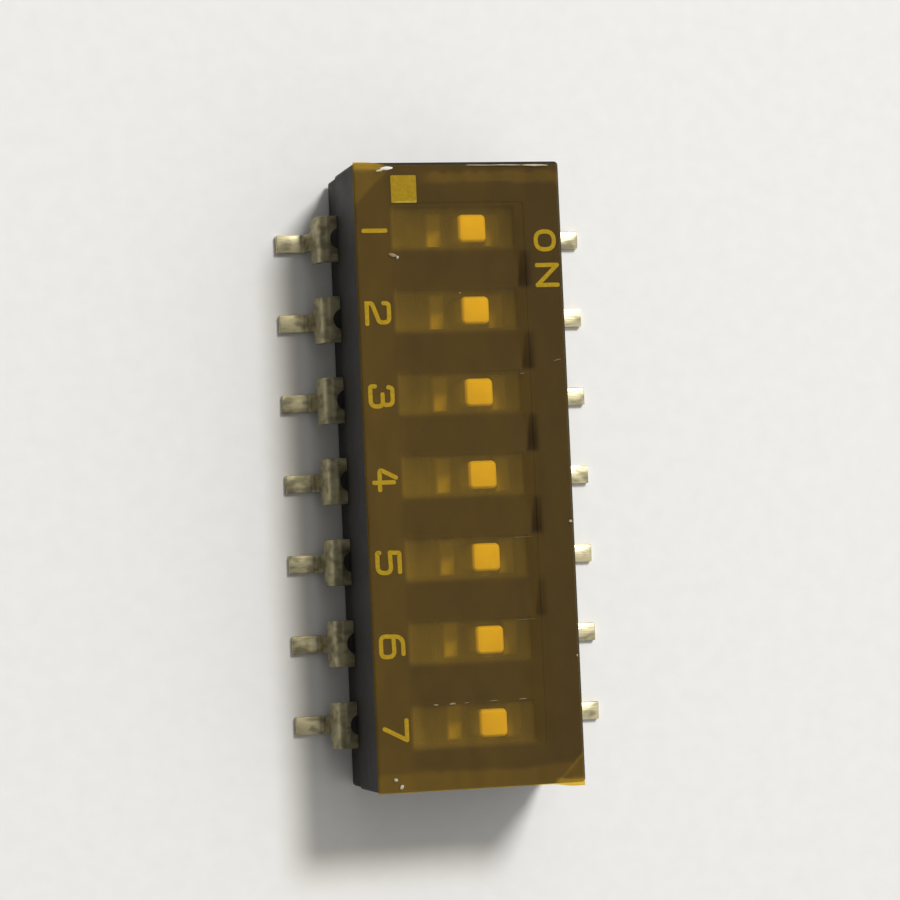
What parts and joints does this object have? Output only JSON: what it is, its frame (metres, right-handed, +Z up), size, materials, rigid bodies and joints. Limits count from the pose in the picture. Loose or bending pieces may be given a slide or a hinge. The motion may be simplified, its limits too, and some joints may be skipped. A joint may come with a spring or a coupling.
{
  "type": "dip slide switch",
  "caption": "Low black surface-mount DIP slide switch: white sliders in a row of windows under an amber seal film, gull-wing leads along both long sides.",
  "frame": {"origin": "on the board plane under the lead feet, below the middle of the box", "axes": "+X across the box from OFF to ON, +Y along the row towards way 1, +Z up from the board"},
  "size_m": [0.01, 0.0194, 0.0043],
  "materials": {
    "black_cover": "fine moulded matte",
    "black_base": "fine moulded matte",
    "amber_film": "clear amber film, glossy",
    "white_slider": "satin moulded white",
    "gold_contact": "gold-flashed spring bronze",
    "tin_lead": "matte tin plate with fine scratches"
  },
  "bodies": {
    "housing": {"cover": "black_cover", "base": "black_base", "seal_tape": "amber_film", "terminal_off_1": "tin_lead", "terminal_off_2": "tin_lead", "terminal_off_3": "tin_lead", "terminal_off_4": "tin_lead", "terminal_off_5": "tin_lead", "terminal_off_6": "tin_lead", "terminal_off_7": "tin_lead", "terminal_on_1": "tin_lead", "terminal_on_2": "tin_lead", "terminal_on_3": "tin_lead", "terminal_on_4": "tin_lead", "terminal_on_5": "tin_lead", "terminal_on_6": "tin_lead", "terminal_on_7": "tin_lead"},
    "slide_1": {"slider_1": "white_slider", "contact_spring_1": "gold_contact"},
    "slide_2": {"slider_2": "white_slider", "contact_spring_2": "gold_contact"},
    "slide_3": {"slider_3": "white_slider", "contact_spring_3": "gold_contact"},
    "slide_4": {"slider_4": "white_slider", "contact_spring_4": "gold_contact"},
    "slide_5": {"slider_5": "white_slider", "contact_spring_5": "gold_contact"},
    "slide_6": {"slider_6": "white_slider", "contact_spring_6": "gold_contact"},
    "slide_7": {"slider_7": "white_slider", "contact_spring_7": "gold_contact"}
  },
  "joints": [
    {"name": "switch_1", "type": "slide", "parent": "housing", "child": "slide_1", "axis": [1, 0, 0], "range_m": [-0.0012, 0]},
    {"name": "switch_2", "type": "slide", "parent": "housing", "child": "slide_2", "axis": [1, 0, 0], "range_m": [-0.0012, 0]},
    {"name": "switch_3", "type": "slide", "parent": "housing", "child": "slide_3", "axis": [1, 0, 0], "range_m": [-0.0012, 0]},
    {"name": "switch_4", "type": "slide", "parent": "housing", "child": "slide_4", "axis": [1, 0, 0], "range_m": [-0.0012, 0]},
    {"name": "switch_5", "type": "slide", "parent": "housing", "child": "slide_5", "axis": [1, 0, 0], "range_m": [-0.0012, 0]},
    {"name": "switch_6", "type": "slide", "parent": "housing", "child": "slide_6", "axis": [1, 0, 0], "range_m": [-0.0012, 0]},
    {"name": "switch_7", "type": "slide", "parent": "housing", "child": "slide_7", "axis": [1, 0, 0], "range_m": [-0.0012, 0]}
  ]
}
